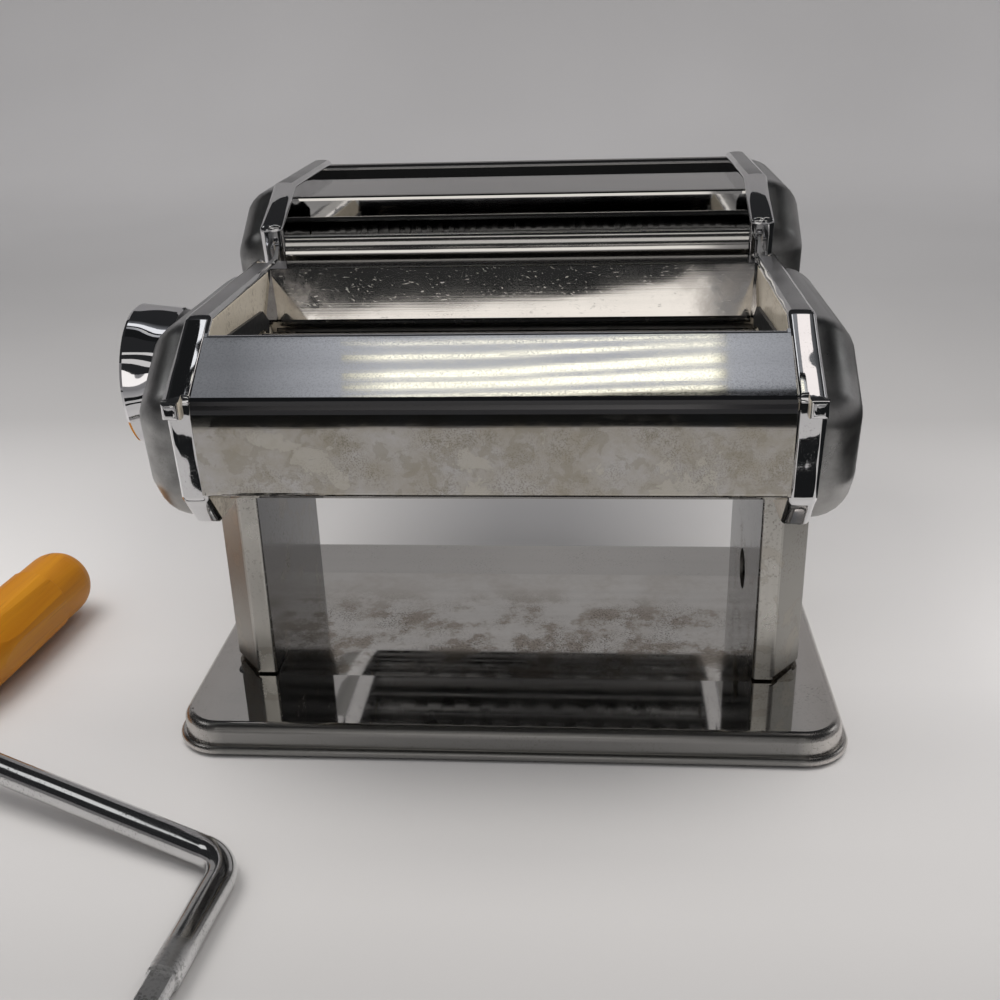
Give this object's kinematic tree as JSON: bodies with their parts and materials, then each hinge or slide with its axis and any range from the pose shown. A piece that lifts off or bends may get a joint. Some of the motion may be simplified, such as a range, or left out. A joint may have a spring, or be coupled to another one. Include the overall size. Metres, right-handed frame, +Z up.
{
  "type": "pasta machine",
  "caption": "Hand-cranked pasta machine: sheet roller head with a gap dial on a pressed-steel stand, a lift-off noodle cutter head behind it and a removable crank with a wooden grip.",
  "frame": {"origin": "on the table top under the middle of the rollers and of the legs", "axes": "+X to the crank side along the rollers, +Y away from the user, +Z up"},
  "size_m": [0.3022, 0.3173, 0.158],
  "materials": {
    "polished_base": "polished top, satin rim",
    "foot_rubber": "matte",
    "sheet_steel": "brushed, lightly tarnished",
    "bright_frame": "mirror",
    "satin_cap": "satin",
    "guide_dark": "matte",
    "roller_steel": "ground",
    "inner_steel": "machined",
    "bush_brass": "turned",
    "knob_chrome": "mirror",
    "crank_chrome": "polished",
    "grip_wood": "varnished"
  },
  "bodies": {
    "stand": {"base_plate": "polished_base", "base_feet": "foot_rubber", "stand_web": "sheet_steel", "left_leg": "sheet_steel", "right_leg": "sheet_steel", "stand_screws": "inner_steel", "left_end_frame": "bright_frame", "right_end_frame": "bright_frame", "left_end_cap": "satin_cap", "right_end_cap": "satin_cap", "front_cover": "sheet_steel", "hopper_plate": "sheet_steel", "rear_cover": "sheet_steel", "dough_guides": "guide_dark", "tie_rods": "inner_steel", "tie_rod_nuts": "inner_steel", "front_scraper": "inner_steel", "drive_bushes": "bush_brass", "spindle_bush": "bush_brass", "index_plate": "knob_chrome"},
    "drive_roll": {"drive_roller": "roller_steel", "drive_gear": "inner_steel"},
    "gap_carriage": {"left_bearing_block": "inner_steel", "right_bearing_block": "inner_steel", "carriage_bar": "inner_steel", "rear_scraper": "inner_steel", "gap_bushes": "bush_brass"},
    "gap_roll": {"gap_roller": "roller_steel", "gap_gear": "inner_steel"},
    "gap_selector": {"gap_spindle": "inner_steel", "gap_cam": "inner_steel", "spindle_retainer": "inner_steel", "knob_spring": "inner_steel"},
    "knob": {"gap_knob": "knob_chrome", "detent_pin": "inner_steel", "knob_cover": "knob_chrome"},
    "cutter": {"cutter_left_frame": "bright_frame", "cutter_right_frame": "bright_frame", "cutter_left_cap": "satin_cap", "cutter_right_cap": "satin_cap", "cutter_front_bar": "sheet_steel", "cutter_divider": "sheet_steel", "cutter_rear_cover": "sheet_steel", "cutter_tie_rods": "inner_steel", "cutter_nuts": "inner_steel", "cutter_bushes": "bush_brass", "narrow_combs": "inner_steel", "wide_combs": "inner_steel"},
    "narrow_drive": {"narrow_drive_roller": "roller_steel", "narrow_drive_gear": "inner_steel"},
    "narrow_driven": {"narrow_driven_roller": "roller_steel", "narrow_driven_gear": "inner_steel"},
    "wide_drive": {"wide_drive_roller": "roller_steel", "wide_drive_gear": "inner_steel"},
    "wide_driven": {"wide_driven_roller": "roller_steel", "wide_driven_gear": "inner_steel"},
    "crank": {"crank_rod": "crank_chrome", "grip_retainer": "inner_steel"},
    "grip": {"crank_grip": "grip_wood", "grip_plug": "grip_wood"}
  },
  "joints": [
    {"name": "drive_turn", "type": "hinge", "parent": "stand", "child": "drive_roll", "pos_m": [0, -0.04675, 0.11], "axis": [1, 0, 0], "continuous": true},
    {"name": "gap_select", "type": "hinge", "parent": "stand", "child": "gap_selector", "pos_m": [-0.09, -0.02125, 0.11], "axis": [-1, 0, 0], "range_deg": [0, 270]},
    {"name": "gap_shift", "type": "slide", "parent": "stand", "child": "gap_carriage", "axis": [0, 1, 0], "range_m": [0, 0.0025]},
    {"name": "gap_roller_turn", "type": "hinge", "parent": "gap_carriage", "child": "gap_roll", "pos_m": [0, -0.02125, 0.11], "axis": [1, 0, 0], "continuous": true},
    {"name": "knob_pull", "type": "slide", "parent": "gap_selector", "child": "knob", "axis": [-1, 0, 0], "range_m": [0, 0.003], "stiffness_N_per_m": 600, "springref_m": -0.002, "deforming": ["knob_spring"]},
    {"name": "cutter_lift", "type": "slide", "parent": "stand", "child": "cutter", "axis": [0, 0, 1], "range_m": [0, 0.06]},
    {"name": "narrow_turn", "type": "hinge", "parent": "cutter", "child": "narrow_drive", "pos_m": [0, 0.0462, 0.126], "axis": [1, 0, 0], "continuous": true},
    {"name": "narrow_driven_turn", "type": "hinge", "parent": "cutter", "child": "narrow_driven", "pos_m": [0, 0.0662, 0.126], "axis": [1, 0, 0], "continuous": true},
    {"name": "wide_turn", "type": "hinge", "parent": "cutter", "child": "wide_drive", "pos_m": [0, 0.1108, 0.126], "axis": [1, 0, 0], "continuous": true},
    {"name": "wide_driven_turn", "type": "hinge", "parent": "cutter", "child": "wide_driven", "pos_m": [0, 0.0908, 0.126], "axis": [1, 0, 0], "continuous": true},
    {"name": "crank_lift", "type": "slide", "parent": "stand", "child": "crank", "axis": [0, 0, 1], "range_m": [0, 0.15]},
    {"name": "grip_spin", "type": "hinge", "parent": "crank", "child": "grip", "pos_m": [-0.18163, -0.0137, 0.0137], "axis": [0.1028, 0.9947, 0], "continuous": true}
  ],
  "couplings": [
    {"joint": "gap_select", "follows": "gap_shift", "rad_per_m": 1884.9},
    {"joint": "gap_roller_turn", "follows": "drive_turn", "ratio": -1},
    {"joint": "narrow_driven_turn", "follows": "narrow_turn", "ratio": -1},
    {"joint": "wide_driven_turn", "follows": "wide_turn", "ratio": -1}
  ]
}
